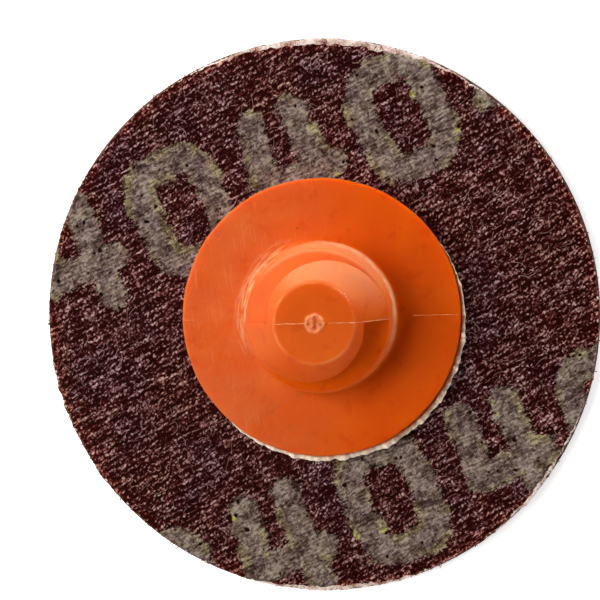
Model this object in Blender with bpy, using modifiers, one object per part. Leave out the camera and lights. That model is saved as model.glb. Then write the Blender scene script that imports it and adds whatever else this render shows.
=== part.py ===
"""Quick-change abrasive disc, seen from its back: a coated cloth disc with a moulded button glued on.

Blender 4.5, metres, +Z up. The disc lies on its grit, which is at z = 0, and the button's axis is the Z axis.
The button's post is a taper with a right-hand thread of two starts, each half a turn long, so that it locks in
its pad with half a turn. The mould parts along the X axis, and each start begins and ends there.
"""

import math

import bmesh
import bpy

MM = 0.001

# Coated abrasive disc: its layers from the grit up to the back of the cloth
DISC_DIAMETER = 50.8 * MM
SIZE_COAT_THICKNESS = 0.12 * MM
GRAIN_THICKNESS = 0.40 * MM
MAKE_COAT_THICKNESS = 0.12 * MM
FRONT_FILL_THICKNESS = 0.08 * MM
CLOTH_THICKNESS = 0.60 * MM
BACK_SIZE_THICKNESS = 0.08 * MM
BOND_CLEARANCE = 0.02 * MM      # between two layers that are bonded to each other

# Hot-melt glue between cloth and button, squeezed out past the flange on one side
FILM_DIAMETER = 25.9 * MM
FILM_THICKNESS = 0.25 * MM
FILM_SHIFT_X = 0.25 * MM
FILM_SHIFT_Y = -0.20 * MM

# Flange of the moulded button
FLANGE_DIAMETER = 25.4 * MM
FLANGE_THICKNESS = 1.5 * MM
FLANGE_TOP_ROUND = 0.40 * MM
FLANGE_UNDER_ROUND = 0.15 * MM

# Post of the button: a collar with a little draft, then a cone up to the end face
COLLAR_FOOT_DIAMETER = 13.7 * MM
COLLAR_EDGE_DIAMETER = 13.0 * MM
COLLAR_HEIGHT = 4.2 * MM        # from the flange to the collar's edge
FOOT_FILLET = 0.50 * MM
POST_HEIGHT = 8.0 * MM          # from the flange to the end face
END_FACE_DIAMETER = 7.3 * MM
GATE_DIAMETER = 1.9 * MM
GATE_HEIGHT = 0.15 * MM
GATE_TAPER = 0.10 * MM

# Thread, cut into the cone as one groove for each start
THREAD_STARTS = 2
THREAD_LAND = 0.65 * MM         # from the end face's edge to the crest, where a start ends
THREAD_DEPTH = 1.45 * MM        # height of the load flank, where a start ends
THREAD_UNDERCUT = 0.20 * MM     # how far the load flank leans in over that height
THREAD_EASE = 0.5               # 0 is an even lead, 1 a crest that eases in and out of its half turn
FLOOR_RUN_OUT = 0.05 * MM       # the groove's floor leaves the collar this far below its edge
LEAD_IN = 0.10 * MM             # the crest starts this far outside the collar
CUTTER_REACH = 1.0 * MM         # how far a cutter stands clear of the post

# Facets
DISC_SEGMENTS = 120
BUTTON_SEGMENTS = 96
FILM_SEGMENTS = 96
ROUND_STEPS = 4
START_STEPS = 48
SMOOTH_ANGLE = math.radians(25)
MERGE_DISTANCE = 0.001 * MM


def clear_scene():
    for item in list(bpy.data.objects):
        bpy.data.objects.remove(item, do_unlink=True)


def new_collection(name):
    collection = bpy.data.collections.new(name)
    bpy.context.scene.collection.children.link(collection)
    return collection


def new_material(name, colour, roughness, metallic=0.0):
    material = bpy.data.materials.new(name)
    material.use_nodes = True
    shader = material.node_tree.nodes["Principled BSDF"]
    shader.inputs["Base Color"].default_value = (*colour, 1.0)
    shader.inputs["Roughness"].default_value = roughness
    shader.inputs["Metallic"].default_value = metallic
    return material


def new_object(name, mesh, collection, material=None):
    part = bpy.data.objects.new(name, mesh)
    collection.objects.link(part)
    if material:
        mesh.materials.append(material)
    return part


def shade_round(mesh):
    mesh.shade_smooth()
    mesh.set_sharp_from_angle(angle=SMOOTH_ANGLE)


def flat_disc(name, diameter, thickness, segments, collection, material):
    """A plain round layer, with its lower face at its own origin."""
    shape = bmesh.new()
    bmesh.ops.create_cone(shape, cap_ends=True, segments=segments,
                          radius1=diameter / 2, radius2=diameter / 2, depth=thickness)
    bmesh.ops.translate(shape, vec=(0, 0, thickness / 2), verts=shape.verts)
    mesh = bpy.data.meshes.new(name)
    shape.to_mesh(mesh)
    shape.free()
    shade_round(mesh)
    return new_object(name, mesh, collection, material)


def arc(centre, radius, start, end):
    """Points of an arc in the profile's plane, from one angle to another in degrees."""
    points = []
    for step in range(ROUND_STEPS + 1):
        angle = math.radians(start + (end - start) * step / ROUND_STEPS)
        points.append((centre[0] + radius * math.cos(angle), centre[1] + radius * math.sin(angle)))
    return points


def button_profile():
    """Radius and height of the button's outline, from the gate on its axis down to its underside."""
    rim = FLANGE_DIAMETER / 2
    foot = COLLAR_FOOT_DIAMETER / 2
    gate = GATE_DIAMETER / 2
    top = FLANGE_THICKNESS
    end = top + POST_HEIGHT
    points = [(0.0, end + GATE_HEIGHT), (gate - GATE_TAPER, end + GATE_HEIGHT), (gate, end)]
    points += [(END_FACE_DIAMETER / 2, end), (COLLAR_EDGE_DIAMETER / 2, top + COLLAR_HEIGHT)]
    points += arc((foot + FOOT_FILLET, top + FOOT_FILLET), FOOT_FILLET, 180, 270)
    points += arc((rim - FLANGE_TOP_ROUND, top - FLANGE_TOP_ROUND), FLANGE_TOP_ROUND, 90, 0)
    points += arc((rim - FLANGE_UNDER_ROUND, FLANGE_UNDER_ROUND), FLANGE_UNDER_ROUND, 0, -90)
    points.append((0.0, 0.0))
    return points


def turned_blank(name, collection, material):
    """The button before its thread is cut, turned from its profile with a Screw modifier."""
    profile = button_profile()
    mesh = bpy.data.meshes.new(name)
    mesh.from_pydata([(radius, 0, height) for radius, height in profile],
                     [(index, index + 1) for index in range(len(profile) - 1)], [])
    blank = new_object(name, mesh, collection, material)
    screw = blank.modifiers.new("Turn", "SCREW")
    screw.steps = BUTTON_SEGMENTS
    screw.render_steps = BUTTON_SEGMENTS
    screw.use_merge_vertices = True
    screw.merge_threshold = MERGE_DISTANCE
    screw.use_smooth_shade = True
    return blank


def crest_radius(turned):
    """Radius of a start's crest, where turned runs from 0 at the collar to 1 at the end face."""
    eased = (1 - math.cos(math.pi * turned)) / 2
    travel = turned + (eased - turned) * THREAD_EASE
    first = COLLAR_EDGE_DIAMETER / 2 + LEAD_IN
    last = END_FACE_DIAMETER / 2 + THREAD_LAND
    return first + (last - first) * travel


def cone_height(radius):
    """Height of the cone's surface above the button's underside."""
    edge = COLLAR_EDGE_DIAMETER / 2
    slope = (POST_HEIGHT - COLLAR_HEIGHT) / (edge - END_FACE_DIAMETER / 2)
    return FLANGE_THICKNESS + COLLAR_HEIGHT + (edge - radius) * slope


def groove_section(turned):
    """Radius and height of the four corners of a groove's cutter, first the root of the thread."""
    edge = COLLAR_EDGE_DIAMETER / 2
    floor_edge = FLANGE_THICKNESS + COLLAR_HEIGHT - FLOOR_RUN_OUT
    last_crest = crest_radius(1)
    last_root = (last_crest - THREAD_UNDERCUT, cone_height(last_crest) - THREAD_DEPTH)
    floor_slope = (last_root[1] - floor_edge) / (edge - last_root[0])
    crest = crest_radius(turned)
    crest_height = cone_height(crest)
    above_floor = crest_height - floor_edge - floor_slope * (edge - crest)
    along = above_floor / (THREAD_DEPTH + floor_slope * THREAD_UNDERCUT)
    root = (crest - along * THREAD_UNDERCUT, crest_height - along * THREAD_DEPTH)
    outside = edge + CUTTER_REACH
    wall_top = (crest + THREAD_UNDERCUT * CUTTER_REACH / THREAD_DEPTH, crest_height + CUTTER_REACH)
    return [root, wall_top, (outside, wall_top[1]), (outside, floor_edge - floor_slope * CUTTER_REACH)]


def groove_cutter(name, start_angle, collection):
    """A loft of groove sections round one start, which shrink and rise towards the end face."""
    shape = bmesh.new()
    sections = []
    for step in range(START_STEPS + 1):
        turned = step / START_STEPS
        angle = start_angle + turned * 2 * math.pi / THREAD_STARTS
        sections.append([shape.verts.new((radius * math.cos(angle), radius * math.sin(angle), height))
                         for radius, height in groove_section(turned)])
    for near, far in zip(sections, sections[1:]):
        for corner in range(len(near)):
            following = (corner + 1) % len(near)
            shape.faces.new((near[corner], far[corner], far[following], near[following]))
    shape.faces.new(sections[0])
    shape.faces.new(sections[-1][::-1])
    bmesh.ops.recalc_face_normals(shape, faces=shape.faces)
    mesh = bpy.data.meshes.new(name)
    shape.to_mesh(mesh)
    shape.free()
    cutter = new_object(name, mesh, collection)
    cutter.hide_render = True
    cutter.display_type = "WIRE"
    return cutter


def threaded_button(height, collection, cutters, material):
    """The blank with a groove cut for each start, its facets turned so that no groove ends on an edge."""
    blank = turned_blank("button_blank", collection, material)
    blank.rotation_euler.z = math.pi / BUTTON_SEGMENTS
    blank.location.z = height
    for start in range(THREAD_STARTS):
        cutter = groove_cutter(f"groove_{start + 1}", start * 2 * math.pi / THREAD_STARTS, cutters)
        cutter.location.z = height
        cut = blank.modifiers.new(f"Cut {cutter.name}", "BOOLEAN")
        cut.operation = "DIFFERENCE"
        cut.solver = "EXACT"
        cut.object = cutter
    bpy.context.view_layer.update()
    evaluated = blank.evaluated_get(bpy.context.evaluated_depsgraph_get())
    mesh = bpy.data.meshes.new_from_object(evaluated)
    mesh.name = "threaded_button"
    shade_round(mesh)
    button = bpy.data.objects.new("threaded_button", mesh)
    collection.objects.link(button)
    button.matrix_world = blank.matrix_world
    bpy.data.objects.remove(blank, do_unlink=True)
    return button


def build():
    clear_scene()
    parts = new_collection("quick_change_disc")
    cutters = new_collection("cutters")

    brown_resin = new_material("phenolic_resin_brown", (0.045, 0.016, 0.014), 0.45)
    grain = new_material("fused_alumina_grain", (0.110, 0.045, 0.035), 0.60)
    make_resin = new_material("phenolic_make_coat", (0.080, 0.030, 0.022), 0.50)
    fill_resin = new_material("cloth_fill", (0.180, 0.090, 0.070), 0.70)
    cloth = new_material("cotton_polyester_cloth", (0.420, 0.300, 0.260), 0.85)
    size_resin = new_material("phenolic_size_coat", (0.060, 0.022, 0.018), 0.40)
    glue = new_material("hot_melt_glue", (0.620, 0.480, 0.330), 0.45)
    nylon = new_material("orange_nylon", (0.740, 0.125, 0.014), 0.35)

    layers = (
        ("size_coat", SIZE_COAT_THICKNESS, size_resin),
        ("abrasive_grain", GRAIN_THICKNESS, grain),
        ("make_coat", MAKE_COAT_THICKNESS, make_resin),
        ("front_fill", FRONT_FILL_THICKNESS, fill_resin),
        ("cloth_backing", CLOTH_THICKNESS, cloth),
        ("back_size", BACK_SIZE_THICKNESS, brown_resin),
    )
    height = 0.0
    for name, thickness, look in layers:
        layer = flat_disc(name, DISC_DIAMETER, thickness, DISC_SEGMENTS, parts, look)
        layer.location.z = height
        height += thickness + BOND_CLEARANCE

    film = flat_disc("hot_melt_film", FILM_DIAMETER, FILM_THICKNESS, FILM_SEGMENTS, parts, glue)
    film.location = (FILM_SHIFT_X, FILM_SHIFT_Y, height)
    height += FILM_THICKNESS + BOND_CLEARANCE

    threaded_button(height, parts, cutters, nylon)


build()
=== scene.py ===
import functools
import math
import random

import bmesh
import bpy
import numpy as np
from mathutils import Matrix, Vector, kdtree, noise


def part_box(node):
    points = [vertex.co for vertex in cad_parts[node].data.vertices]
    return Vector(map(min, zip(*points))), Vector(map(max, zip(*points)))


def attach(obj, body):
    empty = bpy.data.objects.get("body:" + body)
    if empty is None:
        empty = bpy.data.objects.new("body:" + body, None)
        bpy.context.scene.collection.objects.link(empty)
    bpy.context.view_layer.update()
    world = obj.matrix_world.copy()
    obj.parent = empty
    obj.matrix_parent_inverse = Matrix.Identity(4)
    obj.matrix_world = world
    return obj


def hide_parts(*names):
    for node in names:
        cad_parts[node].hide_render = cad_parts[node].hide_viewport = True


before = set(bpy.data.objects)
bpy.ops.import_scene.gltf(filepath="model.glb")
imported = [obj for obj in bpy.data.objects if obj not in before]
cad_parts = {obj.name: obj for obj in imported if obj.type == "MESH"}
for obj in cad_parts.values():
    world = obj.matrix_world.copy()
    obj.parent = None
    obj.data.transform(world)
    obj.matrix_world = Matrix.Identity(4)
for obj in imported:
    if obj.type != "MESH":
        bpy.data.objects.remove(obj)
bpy.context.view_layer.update()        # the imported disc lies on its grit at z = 0, with its button's axis on Z
mm = 0.001


# an sRGB hex colour in linear light
def toLinear(hexCode):
    channels = [int(hexCode[i:i + 2], 16) / 255 for i in (0, 2, 4)]
    return (*[c / 12.92 if c <= 0.04045 else ((c + 0.055) / 1.055) ** 2.4 for c in channels], 1.0)


# an empty material, addNode for its own tree, and the piece's own coordinates
def newMaterial(name):
    material = bpy.data.materials.new(name)
    material.use_nodes = True
    material.node_tree.nodes.clear()
    add = functools.partial(addNode, material.node_tree)
    return material, add, add("TexCoord").outputs["Object"]


# a node with its settings; its sockets take values or links, in order or by name or number
def addNode(tree, kind, *inputs, stops=None, **settings):
    node = tree.nodes.new("ShaderNode" + kind)
    for name, setting in settings.items():
        setattr(node, name, setting)
    sockets = inputs[0] if inputs and isinstance(inputs[0], dict) else dict(enumerate(inputs))
    for socket, source in sockets.items():
        if isinstance(source, bpy.types.Node):
            source = source.outputs[0]
        if isinstance(source, bpy.types.NodeSocket):
            tree.links.new(source, node.inputs[socket])
        else:
            node.inputs[socket].default_value = source
    if stops:
        ends = node.color_ramp.elements
        ends[0].position, ends[0].color = stops[0][0], toLinear(stops[0][1])
        ends[1].position, ends[1].color = stops[-1][0], toLinear(stops[-1][1])
        for place, hexCode in stops[1:-1]:
            ends.new(place).color = toLinear(hexCode)
    return node


def shapeToPiece(name, shape, material, smooth=True):
    mesh = bpy.data.meshes.new(name)
    shape.to_mesh(mesh)
    shape.free()
    if smooth:
        mesh.shade_smooth()
    mesh.materials.append(material)
    piece = bpy.data.objects.new(name, mesh)
    bpy.context.scene.collection.objects.link(piece)
    return piece


# every piece rides on the one body; nodes are the solids that it stands for
def fixToButton(piece, slot, *nodes):
    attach(piece, "root")
    if nodes:
        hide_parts(*nodes)
    return piece


# a line through the corners with each inner one rounded off, in the same number of points each time
def roundedLine(corners, rounds, rows, cornerRows=4):
    points = [Vector(corners[0])]
    leave = Vector(corners[0])
    for before, corner, after, size, count in zip(corners, corners[1:], corners[2:], rounds, rows):
        corner = Vector(corner)
        back, on = Vector(before) - corner, Vector(after) - corner
        arrive = corner + back * min(size / max(back.length, 1e-9), 0.45)
        away = corner + on * min(size / max(on.length, 1e-9), 0.45)
        points += [leave.lerp(arrive, step / count) for step in range(1, count + 1)]
        for step in range(1, cornerRows + 1):
            part = step / cornerRows
            points.append(arrive.lerp(corner, part).lerp(corner.lerp(away, part), part))
        leave = away
    points += [leave.lerp(Vector(corners[-1]), step / rows[-1]) for step in range(1, rows[-1] + 1)]
    return points


# a profile in millimetres spun round Z: a narrow sector and then copies of it, which is quick on a wide disc;
# each vert keeps the number of its point in the layer called row
def spunProfile(points, sectors, columns):
    shape = bmesh.new()
    rowOf = shape.verts.layers.int.new("row")
    verts = [shape.verts.new((radius * mm, 0, height * mm)) for radius, height in points]
    for row, vert in enumerate(verts):
        vert[rowOf] = row
    edges = [shape.edges.new(pair) for pair in zip(verts, verts[1:])]
    share = 2 * math.pi / sectors
    bmesh.ops.spin(shape, geom=verts + edges, cent=(0, 0, 0), axis=(0, 0, 1), dvec=(0, 0, 0),
                   angle=share, steps=columns, use_merge=False, use_duplicate=False)
    bmesh.ops.spin(shape, geom=shape.verts[:] + shape.edges[:] + shape.faces[:], cent=(0, 0, 0),
                   axis=(0, 0, 1), dvec=(0, 0, 0), angle=2 * math.pi - share, steps=sectors - 1,
                   use_merge=False, use_duplicate=True)
    bmesh.ops.remove_doubles(shape, verts=shape.verts, dist=1e-7)
    bmesh.ops.recalc_face_normals(shape, faces=shape.faces)
    return shape


photoView = {
    "distance": 300 * mm,          # from the disc, worked out from how the post leans in the photograph
    "tilt": 5.7,                   # degrees off the button's axis
    "heading": 41.0,               # degrees from +X, the way the camera leans out
    "roll": -1.5,
    "pixelsPerMm": 10.905,         # on the back of the disc, in the 600 pixel frame
    "frame": 600,
    "discAt": (322.0, 316.6),      # the disc's centre in that frame
}


def setCamera():
    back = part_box("back_size")[1].z
    tilt, heading = math.radians(photoView["tilt"]), math.radians(photoView["heading"])
    lean = Vector((math.sin(tilt) * math.cos(heading), math.sin(tilt) * math.sin(heading), math.cos(tilt)))
    half = photoView["frame"] / 2
    aim = Vector(((half - photoView["discAt"][0]) / photoView["pixelsPerMm"] * mm,
                  (photoView["discAt"][1] - half) / photoView["pixelsPerMm"] * mm, back))
    place = Vector((0, 0, back)) + lean * photoView["distance"]
    look = (place - aim).normalized()
    up = Matrix.Rotation(math.radians(photoView["roll"]), 3, "Z") @ Vector((0, 1, 0))
    right = up.cross(look).normalized()
    data = bpy.data.cameras.new("photoCamera")
    data.sensor_width = 36
    data.lens = photoView["pixelsPerMm"] / mm * photoView["distance"] * data.sensor_width / photoView["frame"]
    data.clip_start = 0.01
    camera = bpy.data.objects.new("photoCamera", data)
    turn = Matrix((right, look.cross(right), look)).transposed()
    camera.matrix_world = Matrix.Translation(place) @ turn.to_4x4()
    bpy.context.scene.collection.objects.link(camera)
    bpy.context.scene.camera = camera


softLights = [        # azimuth and elevation, distance, width and height in metres, watts, colour, in gloss
    ("keyBox", 171, 48, 0.50, 0.40, 0.40, 2.98, "fffaf4", True),
    ("topBox", 78, 6, 0.50, 0.45, 0.08, 2.70, "fdfcff", False),
    ("kickBox", 322, 6, 0.50, 0.40, 0.08, 0.98, "fdfcff", False),
]
studio = {"fill": 0.07, "fillColor": "f5f3f0", "floorSize": 1.2, "paper": "f2f2f2", "paperGlow": 0.68}


def setLights():
    for name, azimuth, elevation, distance, width, height, watts, hexCode, inGloss in softLights:
        data = bpy.data.lights.new(name, "AREA")
        data.shape = "RECTANGLE"
        data.size, data.size_y = width, height
        data.energy = watts
        data.color = toLinear(hexCode)[:3]
        turn, rise = math.radians(azimuth), math.radians(elevation)
        reliefAndPaintedLight = bpy.data.objects.new(name, data)
        reliefAndPaintedLight.visible_glossy = inGloss       # a low box in gloss would whiten the flat tops in low views
        reliefAndPaintedLight.location = (distance * math.cos(rise) * math.cos(turn),
                          distance * math.cos(rise) * math.sin(turn), distance * math.sin(rise))
        reliefAndPaintedLight.rotation_euler = reliefAndPaintedLight.location.to_track_quat("Z", "Y").to_euler()
        bpy.context.scene.collection.objects.link(reliefAndPaintedLight)
    world = bpy.data.worlds.new("paleStudio")
    world.use_nodes = True
    world.node_tree.nodes.clear()
    add = functools.partial(addNode, world.node_tree)
    # a white backdrop for the camera and glass, and for gloss as far up as it reaches; it lights nothing
    path = add("LightPath")
    rise = add("SeparateXYZ", add("TexCoord").outputs["Generated"]).outputs[2]
    onBackdrop = add("MapRange", rise, 0.14, 0.02, interpolation_type="SMOOTHSTEP")
    glossy = add("Math", path.outputs["Is Glossy Ray"], onBackdrop, operation="MULTIPLY")
    through = add("Math", path.outputs["Is Camera Ray"], path.outputs["Is Transmission Ray"],
            operation="MAXIMUM")
    shows = add("Math", through, glossy, operation="MAXIMUM")
    seen = add("Background", {"Color": (1, 1, 1, 1), "Strength": 1.0})
    lit = add("Background", {"Color": toLinear(studio["fillColor"]), "Strength": studio["fill"]})
    mixed = add("MixShader", shows, lit, seen)
    add("OutputWorld", {"Surface": mixed})
    bpy.context.scene.world = world
    bpy.context.scene.view_settings.view_transform = "Standard"


def setFloor():
    shape = bmesh.new()
    bmesh.ops.create_grid(shape, x_segments=1, y_segments=1, size=studio["floorSize"] / 2)
    bmesh.ops.translate(shape, vec=(0, 0, -0.02 * mm), verts=shape.verts)
    # white paper: a little glow for camera, gloss and glass makes it white, more so far off; the shadow stays
    material, add, place = newMaterial("whitePaper")
    path = add("LightPath")
    away = add("VectorMath", place, operation="LENGTH").outputs["Value"]
    strength = add("MapRange", away, 80 * mm, 300 * mm, studio["paperGlow"], 1.0)
    paper = add("BsdfDiffuse", {"Color": toLinear(studio["paper"])})
    glow = add("Emission", {"Color": (1, 1, 1, 1), "Strength": strength})
    both = add("AddShader", paper, glow)
    direct = add("Math", path.outputs["Is Camera Ray"], path.outputs["Is Glossy Ray"], operation="MAXIMUM")
    shows = add("Math", direct, path.outputs["Is Transmission Ray"], operation="MAXIMUM")
    mixed = add("MixShader", shows, paper, both)
    add("OutputMaterial", {"Surface": mixed})
    shapeToPiece("floor", shape, material, smooth=False)


button = {                    # millimetres, as the solid that it stands for
    "flangeRadius": 12.7, "flangeThickness": 1.5, "rimRound": 0.24, "underRound": 0.15,
    "footRadius": 6.85, "footFillet": 0.5, "collarRadius": 6.5, "collarHeight": 4.2, "collarRound": 0.12,
    "postHeight": 8.0, "endRadius": 3.65, "endRound": 0.09,
    "land": 0.65, "depth": 1.45, "undercut": 0.20, "ease": 0.5, "runOut": 0.05, "leadIn": 0.05,
    "crestRound": 0.08, "rootRound": 0.18,
    "rows": [30, 12, 8, 10, 10, 20, 3, 4], "columns": 288, "stepWidth": 0.15,
    "gateRadius": 0.68, "gateHeight": 0.21, "edgeWander": 0.17, "rimWander": 0.055,
}


nylonWearAndSheen = {                 # millimetres, degrees, and directions across the disc
    # turn, length, width and detail of the streaks, from and to which noise they show, strength and fade
    "scuffs": [(58, 2.6, 0.13, 2.0, 0.66, 0.78, 1.0, "SMOOTHSTEP"),
               (-20, 2.0, 0.11, 2.0, 0.67, 0.80, 1.0, "SMOOTHSTEP"),
               (97, 3.4, 0.10, 1.0, 0.70, 0.76, 1.4, "LINEAR")],
    # rings round the post where sheen is painted, and the end face's lip: the radii over which each fades in and
    # then out
    "bands": {"arcs": (6.60, 6.80, 8.5, 7.0, "SMOOTHSTEP"), "wall": (6.44, 6.52, 6.95, 6.85, "LINEAR"),
              "foot": (6.62, 6.78, 7.04, 6.90, "LINEAR"), "lip": (3.40, 3.58, 3.86, 3.70, "LINEAR")},
    # one-sided painted sheen and highlights, on the sides that face the lamps: which way, how far out it starts
    # and is full, and its least and most
    "sides": {"arcs": ((-0.93, 0.36, 0), 3.8, 7.2, 0.0, 1.0), "wall": ((0.34, 0.94, 0), 3.0, 6.2, 0.14, 0.5),
              "foot": ((0.80, 0.60, 0), 1.6, 5.4, 0.0, 1.15),
              "coneTop": ((0.14, 0.98, 0), 0.8, 4.9, 0.0, 0.66),
              "coneLeft": ((-0.93, 0.36, 0), 1.0, 4.6, 0.0, 0.17)},
}


# the button's outline where a start has run that share of its half turn
def buttonSection(turned):
    b = button
    top = b["flangeThickness"]
    end, edge = top + b["postHeight"], top + b["collarHeight"]
    slope = (end - edge) / (b["collarRadius"] - b["endRadius"])
    eased = (1 - math.cos(math.pi * turned)) / 2
    first, last = b["collarRadius"] - b["leadIn"], b["endRadius"] + b["land"]
    crest = first + (last - first) * (turned + (eased - turned) * b["ease"])
    crestHeight = edge + (b["collarRadius"] - crest) * slope
    floorEdge = edge - b["runOut"]
    lastRoot = edge + (b["collarRadius"] - last) * slope - b["depth"]
    floorSlope = (lastRoot - floorEdge) / (b["collarRadius"] - last + b["undercut"])
    above = crestHeight - floorEdge - floorSlope * (b["collarRadius"] - crest)
    along = above / (b["depth"] + floorSlope * b["undercut"])
    corners = [(0, end), (b["endRadius"], end), (crest, crestHeight),
               (crest - along * b["undercut"], crestHeight - along * b["depth"]),
               (b["collarRadius"], edge), (b["footRadius"], top), (b["flangeRadius"], top),
               (b["flangeRadius"], 0), (0, 0)]
    rounds = [b["endRound"], b["crestRound"], b["rootRound"], b["collarRound"], b["footFillet"],
              b["rimRound"], b["underRound"]]
    return roundedLine(corners, rounds, b["rows"])


# height of the torn gate in the middle of the end face, in millimetres
def gateLift(x, y):
    radius, angle = math.hypot(x, y), math.atan2(y, x)
    ragged = noise.noise(Vector((math.cos(angle) * 1.7, math.sin(angle) * 1.7, 3.1)))
    chipped = noise.noise(Vector((math.cos(angle) * 4.6, math.sin(angle) * 4.6, 6.2)))
    rim = button["gateRadius"] * (1 + 0.22 * ragged + 0.10 * chipped + 0.42 * max(0, math.cos(angle)) ** 14)
    ring = math.exp(-((radius - rim) / 0.11) ** 2) * (0.80 + 0.9 * ragged + 0.5 * chipped)
    inside = 1 / (1 + math.exp((radius - rim) / 0.06))
    torn = noise.noise(Vector((x * 2.6, y * 2.6, 7.7))) + 0.4 * noise.noise(Vector((x * 6, y * 6, 1.3)))
    nub = math.exp(-(((x + 0.10) / 0.30) ** 2 + ((y - 0.26) / 0.22) ** 2))
    nub += 0.8 * math.exp(-(((x + 0.14) / 0.20) ** 2 + ((y + 0.24) / 0.24) ** 2))
    return button["gateHeight"] * (ring + inside * (0.9 * torn + 1.1 * nub - 0.1))


# the button: each column round it takes the outline that its start's thread has reached there
def mouldButton():
    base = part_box("threaded_button")[0].z
    columns = button["columns"]
    half = columns // 2
    shape = spunProfile(buttonSection(0.5), 12, columns // 12)
    rowOf = shape.verts.layers.int["row"]
    sections = {}
    for vert in shape.verts:
        column = round(math.atan2(vert.co.y, vert.co.x) / (2 * math.pi) * columns) % columns
        inStart = column % half
        angle = column * 2 * math.pi / columns
        if inStart == half - 1:          # the end of a start drops to the next one across a narrow step
            inStart = half
            angle += 2 * math.pi / columns - math.radians(button["stepWidth"])
        if inStart not in sections:
            sections[inStart] = buttonSection(inStart / half)
        radius, height = sections[inStart][vert[rowOf]]
        around = Vector((math.cos(angle), math.sin(angle), 2.7))
        atEdge = math.exp(-((radius - button["endRadius"]) / 0.35) ** 2)
        radius += button["edgeWander"] * atEdge * (noise.noise(around * 1.9) + 0.6 * noise.noise(around * 5))
        atRim = max(0.0, min(1.0, (radius - button["flangeRadius"] + 1.0) / 0.8))
        radius += button["rimWander"] * atRim * (noise.noise(around * 3.1) + 0.7 * noise.noise(around * 13))
        x, y = radius * math.cos(angle), radius * math.sin(angle)
        if vert[rowOf] < button["rows"][0] and radius < 1.8:
            height += gateLift(x, y)
        vert.co = Vector((x * mm, y * mm, height * mm + base))
    bmesh.ops.recalc_face_normals(shape, faces=shape.faces)
    piece = shapeToPiece("moulded_button", shape, mouldedNylon())
    piece.data.set_sharp_from_angle(angle=math.radians(40))
    return fixToButton(piece, "orange_nylon", "threaded_button")
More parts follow.
